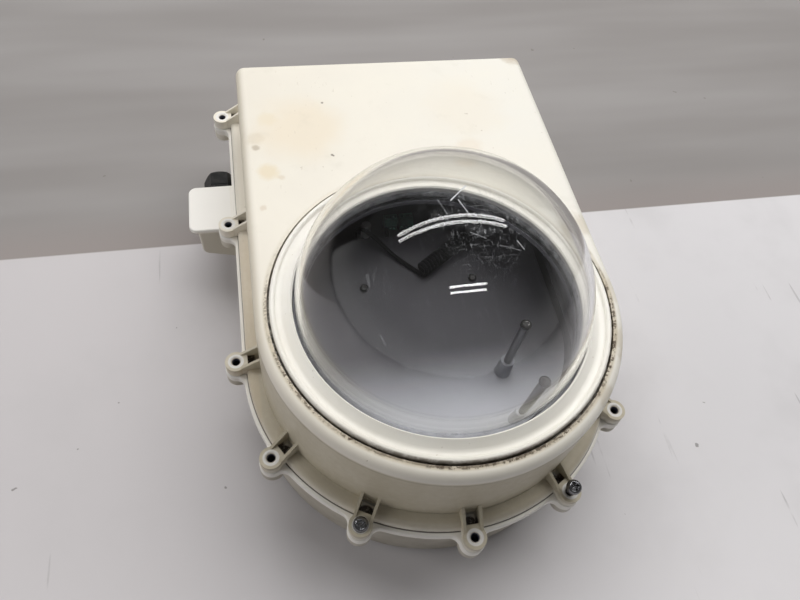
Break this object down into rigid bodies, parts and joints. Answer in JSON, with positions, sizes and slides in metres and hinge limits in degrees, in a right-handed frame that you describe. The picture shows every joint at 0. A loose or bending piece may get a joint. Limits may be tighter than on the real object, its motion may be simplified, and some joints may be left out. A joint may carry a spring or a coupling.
{
  "type": "security camera housing",
  "caption": "Outdoor camera housing: a moulded clamshell with a rounded nose, screw ears, a clear dome in a clamping ring and a side cable box with a gland.",
  "frame": {"origin": "on the dome's axis, at the outer face of the back shell, which the housing lies on", "axes": "+Z out of the dome, +Y towards the straight end that goes to the wall, +X to the side away from the cable box"},
  "size_m": [0.3033, 0.3932, 0.2198],
  "materials": {
    "shell_plastic": "moulded, slightly yellowed",
    "clear_acrylic": "clear, scuffed",
    "seal_rubber": "plain",
    "brass": "knurled outside",
    "screw_steel": "stainless, dirty",
    "dark_steel": "black oxide",
    "post_aluminium": "turned",
    "tray_plastic": "smooth dark",
    "board_green": "solder mask",
    "terminal_green": "moulded",
    "can_aluminium": "drawn can",
    "header_white": "moulded",
    "lead_black": "soft sheath",
    "gland_black": "moulded"
  },
  "bodies": {
    "back": {"back_shell": "shell_plastic", "cover_gasket": "seal_rubber", "threaded_inserts": "brass", "camera_tray": "tray_plastic", "tray_screws": "dark_steel", "standoff_rear": "post_aluminium", "standoff_front": "post_aluminium", "standoff_screws": "dark_steel", "control_board": "board_green", "board_screws": "screw_steel", "terminal_block_left": "terminal_green", "terminal_block_right": "terminal_green", "capacitor": "can_aluminium", "board_header": "header_white", "lead_plug": "header_white", "lead_coil": "lead_black", "lead_tail": "lead_black", "lead_end": "lead_black", "gland_body": "gland_black", "gland_gasket": "seal_rubber", "gland_seal": "seal_rubber", "gland_locknut": "gland_black"},
    "cover": {"front_cover": "shell_plastic", "dome_ring": "shell_plastic", "dome": "clear_acrylic", "dome_gasket": "seal_rubber", "ring_screws": "screw_steel", "cover_screw_seated": "screw_steel", "cover_screw_raised": "screw_steel"},
    "gland_nut": {"gland_nut": "gland_black"}
  },
  "joints": [
    {"name": "cover_lift", "type": "slide", "parent": "back", "child": "cover", "axis": [0, 0, 1], "range_m": [0, 0.12]},
    {"name": "gland_nut_turn", "type": "hinge", "parent": "back", "child": "gland_nut", "pos_m": [-0.1389, 0.1755, 0.0435], "axis": [0, 1, 0], "range_deg": [0, 720]}
  ]
}
